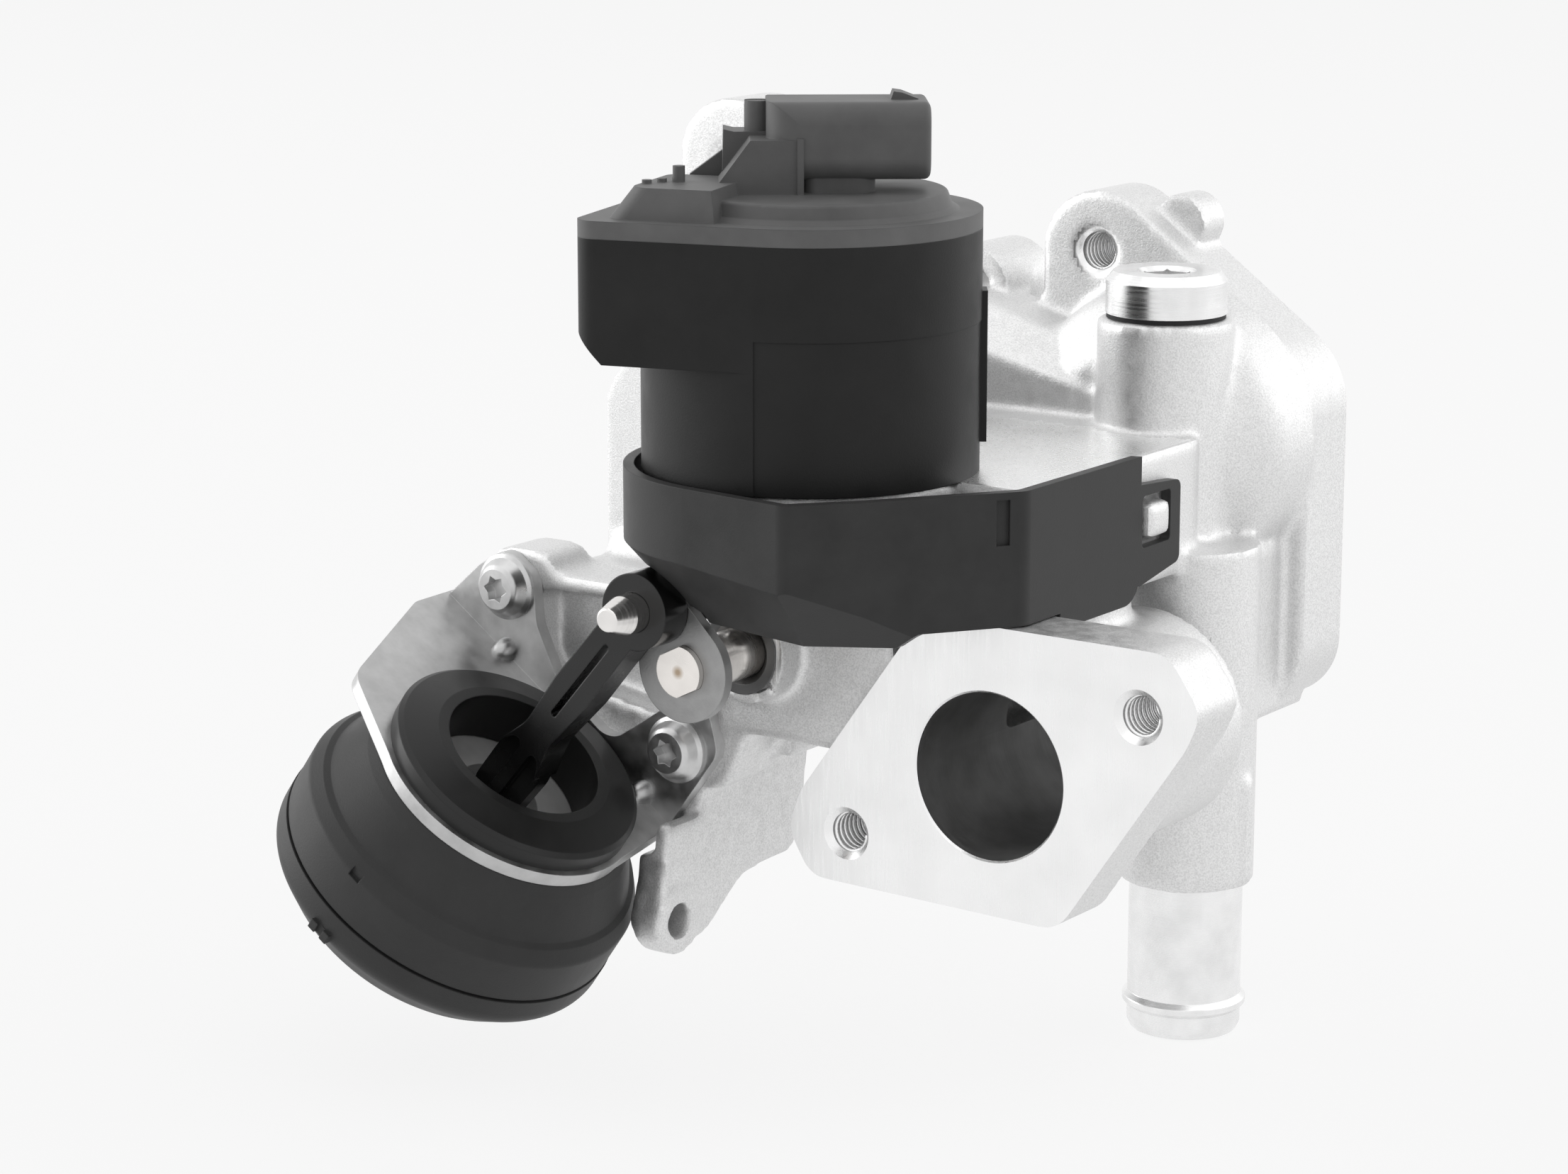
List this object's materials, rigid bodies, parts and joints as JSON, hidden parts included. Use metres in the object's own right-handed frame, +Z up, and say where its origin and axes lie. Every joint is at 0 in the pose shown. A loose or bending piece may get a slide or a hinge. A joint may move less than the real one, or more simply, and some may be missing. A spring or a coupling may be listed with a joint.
{
  "type": "egr valve",
  "caption": "Electric exhaust gas recirculation valve with a vacuum-driven cooler bypass flap on an aluminium casting.",
  "frame": {"origin": "centre of the inlet bore on the machined face of the inlet flange", "axes": "-Y out of the inlet bore, +Z up along the valve stem, +X to the right seen from the inlet"},
  "size_m": [0.164, 0.1505, 0.1688],
  "materials": {
    "cast_aluminium": "sand-textured casting with machined faces",
    "turned_aluminium": "fine turned",
    "polished_steel": "ground and polished",
    "zinc_screws": "zinc plated",
    "sheet_steel": "stamped, satin",
    "grey_steel": "blasted, dull",
    "bush_bronze": "sintered",
    "tinned_brass": "tinned",
    "spring_steel": "shot blasted wire",
    "magnet": "pressed ferrite",
    "black_plastic": "fine-grained glass-filled moulding",
    "grey_plastic": "smooth glass-filled moulding",
    "glossy_black_plastic": "semi-gloss moulding",
    "pale_plastic": "natural moulding",
    "board": "lacquered board",
    "seal_rubber": "moulded elastomer"
  },
  "bodies": {
    "root": {"valve_housing": "cast_aluminium", "coolant_nipple": "turned_aluminium", "plug_screw": "turned_aluminium", "plug_seal": "polished_steel", "heat_shroud": "grey_plastic", "valve_seat": "grey_steel", "stem_guide": "bush_bronze", "stem_seal": "seal_rubber", "valve_spring": "spring_steel", "flap_bushes": "bush_bronze", "shaft_seal": "seal_rubber", "actuator_body": "black_plastic", "actuator_lid": "grey_plastic", "lid_seal": "seal_rubber", "actuator_seal": "seal_rubber", "actuator_screws": "zinc_screws", "connector_pins": "tinned_brass", "idler_pin": "polished_steel", "gear_plate": "sheet_steel", "gear_bearing": "bush_bronze", "guide_pin": "polished_steel", "motor_can": "sheet_steel", "motor_magnets": "magnet", "motor_bearings": "bush_bronze", "brush_card": "pale_plastic", "sensor_board": "board", "pod_collar": "glossy_black_plastic", "pod_bracket": "sheet_steel", "bracket_screws": "zinc_screws", "pod_shell": "black_plastic", "pod_cap": "black_plastic", "diaphragm": "seal_rubber", "pod_spring": "spring_steel"},
    "lever": {"flap_shaft": "polished_steel", "bypass_flap": "grey_steel", "flap_screws": "zinc_screws", "lever_plate": "grey_steel", "lever_pin": "polished_steel"},
    "link": {"link_rod": "glossy_black_plastic"},
    "piston": {"diaphragm_plate": "pale_plastic"},
    "output": {"output_gear": "pale_plastic", "sensor_magnet": "magnet"},
    "idler": {"idler_gear": "pale_plastic"},
    "rotor": {"motor_rotor": "sheet_steel", "motor_pinion": "grey_steel"},
    "valve": {"valve_poppet": "grey_steel", "valve_stem": "polished_steel", "spring_retainer": "sheet_steel"}
  },
  "joints": [
    {"name": "lever_hinge", "type": "hinge", "parent": "root", "child": "lever", "pos_m": [-0.0494, 0, 0.0139], "axis": [0, -1, 0], "range_deg": [0, 60]},
    {"name": "link_hinge", "type": "hinge", "parent": "lever", "child": "link", "pos_m": [-0.05459, -0.0196, 0.02427], "axis": [0, -1, 0], "range_deg": [-60, 0]},
    {"name": "piston_slide", "type": "slide", "parent": "root", "child": "piston", "axis": [-0.5793, 0, -0.8151], "range_m": [0, 0.01159], "stiffness_N_per_m": 20, "springref_m": -0.01, "deforming": ["pod_spring", "diaphragm"]},
    {"name": "rotor_spin", "type": "hinge", "parent": "root", "child": "rotor", "pos_m": [-0.02838, -0.00616, 0.06], "axis": [0, 0, 1], "range_deg": [0, 2200]},
    {"name": "idler_spin", "type": "hinge", "parent": "root", "child": "idler", "pos_m": [-0.0462, -0.00989, 0.08], "axis": [0, 0, 1], "range_deg": [-660, 0]},
    {"name": "output_spin", "type": "hinge", "parent": "root", "child": "output", "pos_m": [-0.04317, 0.00947, 0.08], "axis": [0, 0, 1], "range_deg": [0, 180]},
    {"name": "valve_slide", "type": "slide", "parent": "root", "child": "valve", "axis": [0, 0, 1], "range_m": [0, 0.006], "stiffness_N_per_m": 40, "springref_m": -0.01, "deforming": ["valve_spring"]}
  ],
  "couplings": [
    {"joint": "lever_hinge", "follows": "piston_slide", "rad_per_m": 90.334},
    {"joint": "link_hinge", "follows": "piston_slide", "rad_per_m": -90.334},
    {"joint": "rotor_spin", "follows": "valve_slide", "rad_per_m": 6399.5},
    {"joint": "idler_spin", "follows": "valve_slide", "rad_per_m": -1919.8},
    {"joint": "output_spin", "follows": "valve_slide", "rad_per_m": 523.6}
  ]
}
